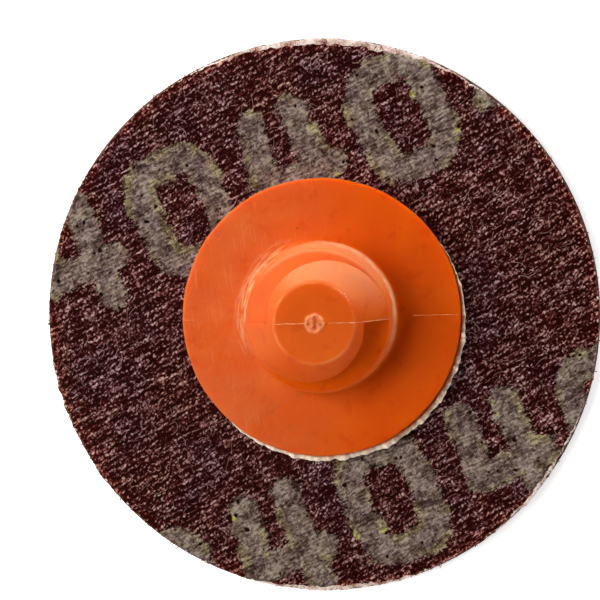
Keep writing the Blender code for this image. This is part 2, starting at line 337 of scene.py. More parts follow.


# injection-moulded nylon: satin gloss with a soft glow in it, faint flow marks, scuffs, and painted sheen and
# highlights on the sides that face the lamps
def mouldedNylon():
    w = nylonWearAndSheen
    material, add, place = newMaterial("injectionMouldedNylon")
    split = add("SeparateXYZ", place)
    flow = add("TexNoise", {"Vector": place, "Scale": 1 / (3.5 * mm), "Detail": 3.0, "Roughness": 0.5})
    fine = add("TexNoise", {"Vector": place, "Scale": 1 / (0.22 * mm), "Detail": 3.0})
    # scuffs: two sets of short fine streaks, and a few long scratches that are nearly upright
    scuffs = None
    for turn, length, width, detail, start, full, strength, fade in w["scuffs"]:
        slanted = add("Mapping", {"Vector": place, "Rotation": (0, 0, math.radians(turn)),
                "Scale": (length * mm, width * mm, 1)}, vector_type="TEXTURE")
        streaks = add("TexNoise", {"Vector": slanted, "Scale": 1.0, "Detail": detail}, noise_dimensions="2D")
        sharp = add("MapRange", streaks, start, full, 0.0, strength, interpolation_type=fade)
        scuffs = add("Math", scuffs, sharp, operation="MAXIMUM") if scuffs else sharp
    flat = add("CombineXYZ", split.outputs[0], split.outputs[1])
    radius = add("VectorMath", flat, operation="LENGTH").outputs["Value"]
    bands, sides = {}, {}
    for name, (inFrom, inTo, outFrom, outTo, fade) in w["bands"].items():
        inner = add("MapRange", radius, inFrom * mm, inTo * mm, interpolation_type=fade)
        outer = add("MapRange", radius, outFrom * mm, outTo * mm, interpolation_type=fade)
        bands[name] = add("Math", outer, inner, operation="MULTIPLY")
    for name, (towards, start, full, low, high) in w["sides"].items():
        reach = add("VectorMath", flat, towards, operation="DOT_PRODUCT").outputs["Value"]
        sides[name] = add("MapRange", reach, start * mm, full * mm, low, high,
                interpolation_type="SMOOTHSTEP")
    # painted sheen: whitish arcs, broken into streaks, round the foot of the post on its lit left, painted sheen
    # up the collar's wall on its right, and a painted highlight, a whiter line, along the foot there
    bearing = add("Math", split.outputs[1], split.outputs[0], operation="ARCTAN2")
    ringPlace = add("CombineXYZ", add("Math", bearing, 4.5, operation="MULTIPLY"),
            add("Math", radius, 0.26 * mm, operation="DIVIDE"))
    ringStreaks = add("TexNoise", {"Vector": ringPlace, "Scale": 1.0, "Detail": 3.0}, noise_dimensions="2D")
    onLeft = add("Math", bands["arcs"], sides["arcs"], operation="MULTIPLY")
    broken = add("MapRange", ringStreaks, 0.36, 0.62, 0.15, 1.4)
    leftArcSheen = add("Math", onLeft, broken, operation="MULTIPLY")
    wallSheen = add("Math", bands["wall"], sides["wall"], operation="MULTIPLY")
    footShare = add("MapRange", ringStreaks, 0.34, 0.56, 0.45, 1.0)
    footLine = add("Math", bands["foot"], sides["foot"], operation="MULTIPLY")
    footHighlight = add("Math", footLine, footShare, operation="MULTIPLY")
    wallOrFoot = add("Math", wallSheen, footHighlight, operation="MAXIMUM")
    sheenRings = add("Math", leftArcSheen, wallOrFoot, operation="MAXIMUM")
    # painted highlight on the cone's top side, which faces the low lamp, and a little on its lit left side; most
    # on the crests
    onCone = add("MapRange", radius, 3.74 * mm, 3.9 * mm)
    onCollar = add("MapRange", radius, 6.44 * mm, 6.52 * mm)
    inCone = add("Math", onCone, add("Math", 1.0, onCollar, operation="SUBTRACT"), operation="MULTIPLY")
    slope = (button["postHeight"] - button["collarHeight"]) / (button["collarRadius"] - button["endRadius"])
    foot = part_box("threaded_button")[0].z + (button["flangeThickness"] + button["collarHeight"]) * mm
    apex = foot + button["collarRadius"] * slope * mm
    crestAt = add("Math", radius, -slope, apex, operation="MULTIPLY_ADD")
    below = add("Math", crestAt, split.outputs[2], operation="SUBTRACT")
    onCrest = add("MapRange", below, 0.34 * mm, 0.12 * mm, 0.25, 1.0)
    crestHighlight = add("Math", onCrest, sides["coneTop"], operation="MULTIPLY")
    coneSideHighlights = add("Math", crestHighlight, sides["coneLeft"], operation="MAXIMUM")
    coneHighlight = add("Math", inCone, coneSideHighlights, operation="MULTIPLY")
    sheenAndHighlights = add("Math", sheenRings, coneHighlight, operation="MAXIMUM")
    # painted sheen on the lit left half of the flange, in patches; the right half has none
    sheenPatch = add("TexNoise", {"Vector": place, "Scale": 1 / (2.6 * mm), "Detail": 4.0, "Roughness": 0.6})
    towardsLitLeft = add("MapRange", split.outputs[0], 5.5 * mm, -9.0 * mm, interpolation_type="SMOOTHSTEP")
    flangeSheenShare = add("MapRange", sheenPatch, 0.35, 0.62, 0.1, 0.24)
    onFlange = add("MapRange", radius, 6.7 * mm, 7.4 * mm)
    leftFlange = add("Math", towardsLitLeft, onFlange, operation="MULTIPLY")
    flangeSheen = add("Math", leftFlange, flangeSheenShare, operation="MULTIPLY")
    # all the painted sheen and highlights together; where they lie the surface is also made a little rougher
    paintedSheen = add("Math", sheenAndHighlights, flangeSheen, operation="MAXIMUM")
    # the rolled lip of the end face, pale in places
    lipPlace = add("MapRange", flow, 0.4, 0.66, 0.0, 0.4)
    lip = add("Math", bands["lip"], lipPlace, operation="MULTIPLY")
    # the torn gate in the middle of the end face, whitened by the tearing
    tornOut = add("MapRange", radius, 1.02 * mm, 0.76 * mm, interpolation_type="SMOOTHSTEP")
    tornIn = add("MapRange", radius, 0.35 * mm, 0.75 * mm, 0.72, 1.0)
    torn = add("Math", tornOut, tornIn, operation="MULTIPLY")
    # specks: a dark pit here and there
    cells = add("TexVoronoi", {"Vector": place, "Scale": 1 / (1.9 * mm)}, voronoi_dimensions="3D")
    chosen = add("SeparateColor", cells.outputs["Color"])
    rare = add("Math", chosen.outputs[0], 0.8, operation="GREATER_THAN")
    dot = add("MapRange", {0: cells.outputs["Distance"], 1: 0.06, 2: 0.03, 4: 0.7})
    speck = add("Math", rare, dot, operation="MULTIPLY")

    tone = add("ValToRGB", flow, stops=[(0.3, "d75203"), (0.55, "dd5904"), (0.75, "e16007")])
    wornSide = add("MapRange", {0: leftFlange, 3: 0.04, 4: 0.42})
    wear = add("Math", scuffs, wornSide, operation="MULTIPLY")
    sheenMix = add("Math", paintedSheen, 0.55, operation="MULTIPLY")
    stain = add("TexNoise", {"Vector": place, "Scale": 1 / (1.5 * mm), "Detail": 2.0})
    stained = add("MapRange", stain, 0.6, 0.66, 0.0, 0.6, interpolation_type="SMOOTHSTEP")
    # the end face is painted a shade paler as painted light, and has fine pale grit marks; both are most on its
    # lower half
    onEnd = add("MapRange", radius, 3.68 * mm, 3.56 * mm)
    marks = add("TexNoise", {"Vector": place, "Scale": 1 / (0.11 * mm), "Detail": 1.0})
    lightAndMarks = add("MapRange", marks, 0.64, 0.74, 0.12, 0.3)
    lowHalf = add("MapRange", split.outputs[1], 1.5 * mm, -1.5 * mm, 0.55, 1.0)
    onLow = add("Math", onEnd, lowHalf, operation="MULTIPLY")
    endLightAndMarks = add("Math", onLow, lightAndMarks, operation="MULTIPLY")
    whitening = add("Math", torn, 0.52, operation="MULTIPLY")
    # layers over the tone: real scuffs, the pale lip, stains, the painted sheen and highlights (f2bb8c), the end
    # face's painted paleness and grit marks, the whitened gate, and dark specks
    layers = [(wear, toLinear("e88a50"), "MIX"), (lip, toLinear("f0a066"), "MIX"),
              (stained, (0.9, 0.7, 0.5, 1), "MULTIPLY"), (sheenMix, toLinear("f2bb8c"), "MIX"),
              (endLightAndMarks, toLinear("f79a4c"), "MIX"), (whitening, toLinear("f6b284"), "MIX"),
              (speck, toLinear("7a2c0c"), "MIX")]
    for share, colour, blend in layers:
        tone = add("Mix", {0: share, 6: tone, 7: colour}, data_type="RGBA", blend_type=blend).outputs[2]
    rough = add("MapRange", {0: flow, 3: 0.36, 4: 0.46})
    dulled = add("Math", paintedSheen, 0.3, rough, operation="MULTIPLY_ADD")
    rougher = add("Math", scuffs, 0.14, dulled, operation="MULTIPLY_ADD")
    grainHeight = add("Math", fine, 0.35, operation="MULTIPLY")
    lifted = add("Math", scuffs, -0.5, grainHeight, operation="MULTIPLY_ADD")
    bump = add("Bump", {"Strength": 0.5, "Distance": 0.02 * mm, "Height": lifted})
    shader = add("BsdfPrincipled", {"IOR": 1.53, "Specular IOR Level": 0.12,
            "Specular Tint": toLinear("ffd9b8"), "Subsurface Weight": 0.6,
            "Subsurface Radius": (1.0, 0.18, 0.03), "Subsurface Scale": 2.2 * mm,
            "Base Color": tone, "Roughness": rougher, "Normal": bump})
    add("OutputMaterial", {"Surface": shader})
    return material


flash = {                     # the mould's parting line: angle, then from and to which radius, in millimetres
    "runs": [(0, 0.84, 3.62), (0, 3.70, 6.42), (0, 8.4, 12.50), (180, 0.76, 3.60), (180, 11.5, 12.50)],
    "thickness": 0.042, "step": 0.14,
    # crumbs: angle, radius and size
    "crumbs": [(52, 3.66, 0.05), (47, 3.70, 0.07), (43, 3.78, 0.10), (39, 3.74, 0.06), (33, 3.70, 0.05)],
}


# a curve for strands of that radius in millimetres
def roundStrands(name, thickness, resolution):
    curve = bpy.data.curves.new(name, "CURVE")
    curve.dimensions = "3D"
    curve.bevel_depth = thickness * mm
    curve.bevel_resolution = resolution
    curve.use_fill_caps = True
    return curve


# height of the button's surface at that radius, from its seat and in millimetres
def topHeight(radius):
    b = button
    top = b["flangeThickness"]
    if radius <= b["endRadius"]:
        return top + b["postHeight"]
    if radius <= b["collarRadius"]:
        slope = (b["postHeight"] - b["collarHeight"]) / (b["collarRadius"] - b["endRadius"])
        return top + b["collarHeight"] + (b["collarRadius"] - radius) * slope
    return top


# thin raised lines left by the mould, and crumbs of it on the end face's edge
def mouldFlash():
    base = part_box("threaded_button")[0].z
    curve = roundStrands("flashLines", flash["thickness"], 1)
    for number, (angle, start, stop) in enumerate(flash["runs"]):
        turn = math.radians(angle)
        count = max(3, round((stop - start) / flash["step"]))
        spline = curve.splines.new("POLY")
        spline.points.add(count)
        for index, point in enumerate(spline.points):
            radius = start + (stop - start) * index / count
            drift = 0.035 * noise.noise(Vector((radius * 1.3, number * 5.0, 0.4)))
            along = Vector((math.cos(turn), math.sin(turn), 0))
            across = Vector((-math.sin(turn), math.cos(turn), 0))
            spot = along * radius * mm + across * drift * mm
            point.co = (spot.x, spot.y, base + topHeight(radius) * mm, 1)
            point.radius = 0.75 + 0.7 * noise.noise(Vector((radius * 2.3, number * 3.0, 9.4)))
    lines = bpy.data.objects.new("flashLines", curve)
    bpy.context.scene.collection.objects.link(lines)
    bpy.context.view_layer.update()
    shape = bmesh.new()
    graph = bpy.context.evaluated_depsgraph_get()
    shape.from_mesh(bpy.data.meshes.new_from_object(lines.evaluated_get(graph)))
    bpy.data.objects.remove(lines)
    bmesh.ops.remove_doubles(shape, verts=shape.verts, dist=1e-7)
    for angle, radius, size in flash["crumbs"]:
        turn = math.radians(angle)
        place = Matrix.Translation((radius * math.cos(turn) * mm, radius * math.sin(turn) * mm,
                                    base + (topHeight(3) + 0.02) * mm))
        made = bmesh.ops.create_icosphere(shape, subdivisions=2, radius=size * mm, matrix=place)
        for vert in made["verts"]:
            spot = vert.co * 9000
            shake = Vector([noise.noise(spot + Vector((0, 0, apart))) for apart in (0, 17.3, 41.9)])
            vert.co += shake * size * 0.5 * mm
    bmesh.ops.recalc_face_normals(shape, faces=shape.faces)
    piece = shapeToPiece("mould_flash", shape, flashNylon())
    return fixToButton(piece, "orange_nylon")


# thin flash of the same nylon: the light comes through it, so it is paler than the button
def flashNylon():
    material, add, place = newMaterial("thinNylonFlash")
    patch = add("TexNoise", {"Vector": place, "Scale": 1 / (0.5 * mm), "Detail": 2.0})
    tone = add("ValToRGB", patch, stops=[(0.3, "e8864a"), (0.7, "f4b68c")])
    height = add("SeparateXYZ", place).outputs[2]
    onFlange = add("MapRange", height, 5 * mm, 4 * mm, 0.0, 0.7)
    warmed = add("Mix", {0: onFlange, 6: tone, 7: toLinear("e87a34")}, data_type="RGBA")
    shader = add("BsdfPrincipled", {"IOR": 1.53, "Roughness": 0.38, "Subsurface Weight": 0.3,
            "Subsurface Radius": (1.0, 0.35, 0.1), "Subsurface Scale": 0.2 * mm,
            "Base Color": warmed.outputs[2]})
    add("OutputMaterial", {"Surface": shader})
    return material


glue = {                      # millimetres, and degrees towards where most of it was squeezed out
    "reach": 12.55, "squeeze": 0.80, "towards": 305, "ragged": 0.16, "bead": 0.85, "columns": 720,
    "edgeWidth": 1.6, "beadFrom": 12.72, "beadRise": 0.14,
}


# the glue film, squeezed out past the flange in a ragged bead on one side
def meltGlue():
    low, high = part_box("hot_melt_film")
    bottom, top = low.z / mm, high.z / mm
    edge = glue["reach"]
    profile = roundedLine([(0, top), (edge - 1.5, top), (edge, top), (edge, bottom), (0, bottom)],
                          [0.2, 0.10, 0.10], [2, 16, 2, 3])
    shape = spunProfile(profile, 30, glue["columns"] // 30)
    for vert in shape.verts:
        radius = math.hypot(vert.co.x, vert.co.y) / mm
        if radius < edge - glue["edgeWidth"]:
            continue
        angle = math.atan2(vert.co.y, vert.co.x)
        facing = max(0.0, math.cos(angle - math.radians(glue["towards"])))
        around = Vector((math.cos(angle), math.sin(angle), 0))
        ragged = noise.noise(around * 8) + 0.8 * noise.noise(around * 22) + 0.16 * noise.noise(around * 60)
        stretch = (radius - (edge - glue["edgeWidth"])) / glue["edgeWidth"]
        reach = glue["squeeze"] * facing ** 0.6 + glue["ragged"] * ragged * (0.3 + facing)
        grown = radius + stretch * reach
        lump = 0.05 * noise.noise(Vector((vert.co.x, vert.co.y, 0)) / (0.4 * mm)) * stretch
        outside = max(0.0, min(1.0, (grown - glue["beadFrom"]) / glue["beadRise"]))
        lump += glue["bead"] * facing ** 0.5 * outside * (0.8 + 0.6 * ragged)
        vert.co = Vector((grown * math.cos(angle) * mm, grown * math.sin(angle) * mm,
                          vert.co.z + lump * mm * (1 if vert.co.z > (low.z + high.z) / 2 else 0)))
    piece = shapeToPiece("glue_film", shape, hotMelt())
    return fixToButton(piece, "hot_melt_glue", "hot_melt_film")


# hot-melt glue: cream and waxy, lumpy where it was squeezed out, with dust stuck in it
def hotMelt():
    material, add, place = newMaterial("hotMeltGlue")
    lumps = add("TexNoise", {"Vector": place, "Scale": 1 / (0.35 * mm), "Detail": 4.0})
    flangeSheen = add("TexNoise", {"Vector": place, "Scale": 1 / (0.16 * mm), "Detail": 2.0})
    tone = add("ValToRGB", lumps, stops=[(0.26, "cfac8a"), (0.42, "f0dcc0"), (0.62, "fdf3e3")])
    dirt = add("MapRange", flangeSheen, 0.66, 0.76)
    dirty = add("Mix", {0: dirt, 6: tone, 7: toLinear("6b4636")}, data_type="RGBA")
    bump = add("Bump", {"Strength": 0.5, "Distance": 0.05 * mm, "Height": lumps})
    shader = add("BsdfPrincipled", {"IOR": 1.48, "Roughness": 0.45, "Subsurface Weight": 0.2,
            "Subsurface Radius": (1.0, 0.7, 0.5), "Subsurface Scale": 0.3 * mm,
            "Base Color": dirty.outputs[2], "Normal": bump})
    add("OutputMaterial", {"Surface": shader})
    return material


weave = {                     # degrees and millimetres
    "rowTurn": 25.0, "rowPitch": 0.55, "fleckTurn": 48.0, "fleckLength": 0.34, "fleckWidth": 0.20,
    # slanting patterns: turn, length, width, and the noise's detail, roughness and distortion; the real
    # fibres are finer, and would be lost between the render's pixels
    "patterns": {"crinkle": (42, 0.38, 0.17, 2.5, 0.62, 0.7), "thick": (31, 1.9, 0.8, 2.0, 0.5, 0.0),
                 "ribs": (120, 0.36, 0.20, 2.0, 0.6, 0.0), "streak": (33, 0.62, 0.12, 3.0, 0.65, 0.5),
                 "cross": (118, 0.8, 0.16, 2.0, 0.6, 0.0)},
    "waves": {"rows": (25, 2.4, 0.55), "ridges": (20, 2.2, 0.36)},     # turn, length and pitch
}
backCoat = {"radius": 25.28, "thickness": 0.12, "hidden": 11.4, "rows": 84, "columns": 960,
            "ragged": 0.17, "bare": 0.36, "relief": 0.035}
gradePrint = {                # millimetres on the cloth's back; it runs over the edge, as cut from a roll
    "turn": 22.0, "height": 11.8, "width": 9.0, "stroke": 2.6, "gap": 10.6, "pair": 21.9,
    "lines": [(13.9, -21.8), (-18.1, -14.6)],
}


# centre lines of the two digits in a box of width and height 1
def digitStrokes():
    oval = []
    for step in range(33):
        angle = 2 * math.pi * step / 32
        across, up = math.cos(angle), math.sin(angle)
        oval.append((0.5 + 0.5 * math.copysign(abs(across) ** 0.6, across),
                     0.5 + 0.5 * math.copysign(abs(up) ** 0.6, up)))
    openFour = [(0.12, 1.0), (0.0, 0.36), (1.0, 0.36)]
    return [[openFour, [(0.76, 0.0), (0.76, 1.0)]], [oval]]


# how far each point is outside the printed strokes, in millimetres; negative inside them
def printDistance(x, y):
    p = gradePrint
    turn = math.radians(p["turn"])
    along = x * math.cos(turn) + y * math.sin(turn)
    up = -x * math.sin(turn) + y * math.cos(turn)
    nearest = np.full(len(x), 99.0)
    reach = (p["width"] - p["stroke"], p["height"] - p["stroke"])
    for level, start in p["lines"]:
        for repeat in range(-1, 4):
            for order, strokes in enumerate(digitStrokes()):
                left = start + repeat * p["pair"] + order * p["gap"]
                for stroke in strokes:
                    points = [(left + px * reach[0], level + (py - 0.5) * reach[1]) for px, py in stroke]
                    for (ax, ay), (bx, by) in zip(points, points[1:]):
                        dx, dy = bx - ax, by - ay
                        share = ((along - ax) * dx + (up - ay) * dy) / (dx * dx + dy * dy)
                        share = np.clip(share, 0, 1)
                        away = np.hypot(along - ax - share * dx, up - ay - share * dy)
                        nearest = np.minimum(nearest, away)
    return nearest - p["stroke"] / 2


# how far a torn rim wanders out at that angle, in millimetres
def raggedRim(angle, size, seed):
    around = Vector((math.cos(angle), math.sin(angle), seed))
    return size * (noise.noise(around * 6) + 0.9 * noise.noise(around * 27) + 0.6 * noise.noise(around * 80))


# how far the bare cloth peeps out past the coat: most at the top of the photograph, and some at its foot
def bareRim(angle):
    top = max(0.0, math.cos(angle - math.radians(86))) ** 14
    low = max(0.0, math.cos(angle - math.radians(272))) ** 30
    right = max(0.0, math.cos(angle - math.radians(322))) ** 60
    return top + 0.7 * low + 0.5 * right


# the resin skin on the back, in low relief over the yarn; its ink attribute is the distance from the print
def coatBack():
    c = backCoat
    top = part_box("back_size")[1].z / mm
    under = top - c["thickness"]
    edge = c["radius"]
    profile = roundedLine([(0, top), (c["hidden"], top), (edge, top), (edge, under), (0, under)],
                          [0.0, 0.06, 0.03], [2, c["rows"], 1, 2], cornerRows=2)
    shape = spunProfile(profile, 30, c["columns"] // 30)
    turn = math.radians(weave["rowTurn"])
    for vert in shape.verts:
        radius = math.hypot(vert.co.x, vert.co.y) / mm
        if radius < c["hidden"] - 0.1:
            continue
        angle = math.atan2(vert.co.y, vert.co.x)
        out = max(0.0, (radius - edge + 2.0) / 2.0)
        radius += out * (raggedRim(angle, c["ragged"], 0.3) - c["bare"] * bareRim(angle))
        x, y = radius * math.cos(angle), radius * math.sin(angle)
        across = -x * math.sin(turn) + y * math.cos(turn)
        wander = noise.noise(Vector((x * 0.35, y * 0.35, 0)))
        lift = math.cos(2 * math.pi * (across / weave["rowPitch"] + 0.7 * wander))
        lift = 0.5 * lift + 1.2 * noise.noise(Vector((x * 1.1, y * 1.1, 5)))
        lift += noise.noise(Vector((x * 3, y * 3, 9)))
        vert.co = Vector((x * mm, y * mm, vert.co.z + (c["relief"] * lift - 0.12 * out ** 6) * mm))
    piece = shapeToPiece("back_coat", shape, resinCoatedCloth())
    count = len(piece.data.vertices)
    spots = np.empty(count * 3)
    piece.data.vertices.foreach_get("co", spots)
    spots = spots.reshape(-1, 3) / mm
    ink = piece.data.attributes.new("ink", "FLOAT", "POINT")
    ink.data.foreach_set("value", printDistance(spots[:, 0], spots[:, 1]).astype(np.float32))
    return fixToButton(piece, "brown_resin", "back_size")


# fluffed woven cloth sized with dark phenolic resin: a crinkled skin in slanting rows, pinkish-grey on the
# raised crowns, partly worn fibre and partly painted highlight, and red-black in the hollows as painted shade;
# the khaki ink over it is matt, with pits and greenish edges
def resinCoatedCloth():
    w = weave
    material, add, place = newMaterial("phenolicCoatedCloth")
    wander = add("TexNoise", {"Vector": place, "Scale": 1 / (1.1 * mm), "Detail": 2.0})
    centred = add("VectorMath", wander.outputs["Color"], (0.5, 0.5, 0.5), operation="SUBTRACT")
    shift = add("VectorMath", {0: centred, "Scale": 0.55 * mm}, operation="SCALE")
    warped = add("VectorMath", place, shift, operation="ADD")
    patterns, waves = {}, {}
    for name, (turn, length, width, detail, roughness, distortion) in w["patterns"].items():
        slanted = add("Mapping", {"Vector": warped, "Rotation": (0, 0, math.radians(turn)),
                "Scale": (length * mm, width * mm, 1)}, vector_type="TEXTURE")
        patterns[name] = add("TexNoise", {"Vector": slanted, "Scale": 1.0, "Detail": detail,
                "Roughness": roughness, "Distortion": distortion}, noise_dimensions="2D")
    for name, (turn, length, pitch) in w["waves"].items():
        slanted = add("Mapping", {"Vector": warped, "Rotation": (0, 0, math.radians(turn)),
                "Scale": (length * mm, pitch * mm, 1)}, vector_type="TEXTURE")
        across = add("SeparateXYZ", slanted).outputs[1]
        waves[name] = add("Math", add("Math", across, 2 * math.pi, operation="MULTIPLY"), operation="SINE")
    crinkle, streak = patterns["crinkle"], patterns["streak"]
    # crowns of the yarns
    fleckPlace = add("Mapping", {"Vector": warped, "Rotation": (0, 0, math.radians(w["fleckTurn"])),
            "Scale": (w["fleckLength"] * mm, w["fleckWidth"] * mm, 1)}, vector_type="TEXTURE")
    cells = add("TexVoronoi", {"Vector": fleckPlace, "Scale": 1.0}, voronoi_dimensions="2D")
    crown = add("MapRange", cells.outputs["Distance"], 0.62, 0.1, interpolation_type="SMOOTHSTEP")
    cellColor = add("SeparateColor", cells.outputs["Color"])
    chance = add("MapRange", cellColor.outputs[0], 0.3, 0.95)
    fleck = add("Math", crown, chance, operation="MULTIPLY")
    relief = add("Mix", {0: 0.3, 2: crinkle, 3: patterns["ribs"]}, data_type="FLOAT")
    for part, share in ((fleck, 0.24), (waves["rows"], 0.052), (patterns["thick"], 0.36)):
        relief = add("Math", part, share, relief, operation="MULTIPLY_ADD")
    # the relief is painted into the colour as well as the bump: paler crowns as painted highlight, darker
    # hollows as painted shade
    reliefAndPaintedLight = add("MapRange", relief, 0.578, 0.978)
    resinAndPaintedLight = add("ValToRGB", reliefAndPaintedLight, stops=[(0.14, "1c0100"), (0.29, "2f0605"), (0.41, "421212"),
            (0.5, "603436"), (0.61, "845b5d"), (0.76, "aa8a8b"), (1.0, "ceb4b1")])
    hue = add("TexNoise", {"Vector": place, "Scale": 1 / (4.5 * mm), "Detail": 3.0})
    drift = add("ValToRGB", hue, stops=[(0.34, "fff0e0"), (0.5, "fff8f6"), (0.64, "eeeeff")])
    drifted = add("Mix", {0: 1.0, 6: resinAndPaintedLight, 7: drift}, data_type="RGBA", blend_type="MULTIPLY")
    # ink: the cloth's ridges show through it, painted lighter on their crests as painted highlight, with
    # patches, fibre streaks, cracks and small black pits
    inkAt = add("Attribute", attribute_name="ink").outputs["Fac"]
    edgeNoise = add("TexNoise", {"Vector": place, "Scale": 1 / (0.45 * mm), "Detail": 4.0,
            "Roughness": 0.7})
    roughEdge = add("MapRange", edgeNoise, 0.25, 0.75, -0.42, 0.42)
    inkEdge = add("Math", inkAt, roughEdge, operation="ADD")
    furred = add("MapRange", streak, 0.3, 0.7, 0.28, -0.28)
    greenPatch = add("TexNoise", {"Vector": place, "Scale": 1 / (3.4 * mm), "Detail": 2.0})
    spread = add("MapRange", greenPatch, 0.5, 0.6, 0.08, -0.3)
    spreadEdge = add("Math", inkEdge, spread, operation="ADD")
    furredEdge = add("Math", spreadEdge, furred, operation="ADD")
    inked = add("MapRange", furredEdge, 0.055, -0.055, interpolation_type="SMOOTHSTEP")
    # painted shadow: the cloth just outside the ink's edge is darkened, as if in the shadow of the ink's
    # thickness
    inkShadowAt = add("MapRange", furredEdge, 0.22, 0.06, 0.0, 0.55)
    pits = add("TexVoronoi", {"Vector": warped, "Scale": 1 / (1.3 * mm)}, voronoi_dimensions="2D")
    pitColor = add("SeparateColor", pits.outputs["Color"])
    pitSize = add("MapRange", pitColor.outputs[1], 0.45, 1.0, 0.0, 0.2)
    pitDepth = add("Math", pitSize, pits.outputs["Distance"], operation="SUBTRACT")
    pit = add("MapRange", pitDepth, 0.0, 0.06)
    blotch = add("TexNoise", {"Vector": warped, "Scale": 1 / (1.5 * mm), "Detail": 2.0})
    mottle = add("TexNoise", {"Vector": warped, "Scale": 1 / (0.42 * mm), "Detail": 3.0, "Roughness": 0.62})
    inkShade = add("Math", patterns["cross"], 0.16, -0.2, operation="MULTIPLY_ADD")
    for part, share in ((streak, 0.44), (mottle, 0.74), (blotch, 0.56), (waves["ridges"], 0.032),
                        (reliefAndPaintedLight, 0.18)):
        inkShade = add("Math", part, share, inkShade, operation="MULTIPLY_ADD")
    ink = add("ValToRGB", inkShade, stops=[(0.55, "2a1c18"), (0.68, "4a3b35"), (0.785, "6c5c54"),
            (0.88, "8a7b71"), (1.0, "aa9e91")])
    # mauve stains, and towards the strokes' edges a paler olive with a few yellow-green patches
    stain = add("TexNoise", {"Vector": warped, "Scale": 1 / (1.9 * mm), "Detail": 2.0})
    stained = add("MapRange", stain, 0.46, 0.64, 0.0, 0.55)
    nearEdge = add("MapRange", inkEdge, -0.75, -0.25, interpolation_type="SMOOTHSTEP")
    paleAt = add("MapRange", greenPatch, 0.49, 0.6, 0.08, 1.0)
    spot = add("TexNoise", {"Vector": place, "Scale": 1 / (1.5 * mm), "Detail": 2.0})
    vividAt = add("MapRange", spot, 0.65, 0.7, interpolation_type="SMOOTHSTEP")
    pale = add("Math", paleAt, nearEdge, operation="MULTIPLY")
    vivid = add("Math", vividAt, nearEdge, operation="MULTIPLY")
    crack = add("MapRange", streak, 0.39, 0.3, 0.0, 0.85, interpolation_type="SMOOTHSTEP")
    hollow = add("Math", pit, crack, operation="MAXIMUM")
    layers = [(stained, (0.8, 0.72, 0.92, 1), "MULTIPLY"), (pale, (1.18, 1.25, 0.87, 1), "MULTIPLY"),
              (vivid, (1.15, 1.4, 0.5, 1), "MULTIPLY"), (hollow, toLinear("180c09"), "MIX")]
    for share, colour, blend in layers:
        ink = add("Mix", {0: share, 6: ink, 7: colour}, data_type="RGBA", blend_type=blend).outputs[2]
    # the painted shadow beside the ink darkens the bare cloth there
    inkShadowed = add("Mix", {0: inkShadowAt, 6: drifted.outputs[2], 7: (0.45, 0.42, 0.42, 1)}, data_type="RGBA",
            blend_type="MULTIPLY")
    surface = add("Mix", {0: inked, 6: inkShadowed.outputs[2], 7: ink}, data_type="RGBA")
    # torn rim, where the bare cloth shows
    split = add("SeparateXYZ", place)
    flat = add("CombineXYZ", split.outputs[0], split.outputs[1])
    radius = add("VectorMath", flat, operation="LENGTH").outputs["Value"]
    rimNoise = add("TexNoise", {"Vector": place, "Scale": 1 / (0.8 * mm), "Detail": 3.0})
    rimShift = add("Math", rimNoise, 1.0 * mm, radius, operation="MULTIPLY_ADD")
    rim = add("MapRange", rimShift, 25.65 * mm, 25.95 * mm, interpolation_type="SMOOTHSTEP")
    rustRing = add("MapRange", rimShift, 24.7 * mm, 25.7 * mm)
    notInked = add("Math", 1.0, inked, operation="SUBTRACT")
    rustAt = add("Math", rustRing, notInked, operation="MULTIPLY")
    rusty = add("Mix", {0: rustAt, 6: surface.outputs[2], 7: (1.45, 1.02, 0.82, 1)}, data_type="RGBA",
            blend_type="MULTIPLY")
    rimTone = add("ValToRGB", crinkle, stops=[(0.4, "4a1a10"), (0.52, "7e4c38"), (0.66, "c9a48f")])
    cutEdge = add("Mix", {0: rim, 6: rusty.outputs[2], 7: rimTone}, data_type="RGBA")

    rough = add("Mix", {0: inked, 2: 0.52, 3: 0.85}, data_type="FLOAT")
    inkHeight = add("Math", inkShade, 0.75, 0.0, operation="MULTIPLY_ADD")
    height = add("Mix", {0: inked, 2: reliefAndPaintedLight, 3: inkHeight}, data_type="FLOAT")
    bump = add("Bump", {"Strength": 1.0, "Distance": 0.11 * mm, "Height": height})
    shader = add("BsdfPrincipled", {"IOR": 1.55, "Specular IOR Level": 0.09,
            "Specular Tint": toLinear("ffb4a8"), "Base Color": cutEdge.outputs[2], "Roughness": rough,
            "Normal": bump})
    add("OutputMaterial", {"Surface": shader})
    return material


clothRim = {"radius": 25.22, "rows": 6, "columns": 1440, "ragged": 0.17, "yarnPitch": 0.5, "yarn": 0.03,
            "bare": 0.22}


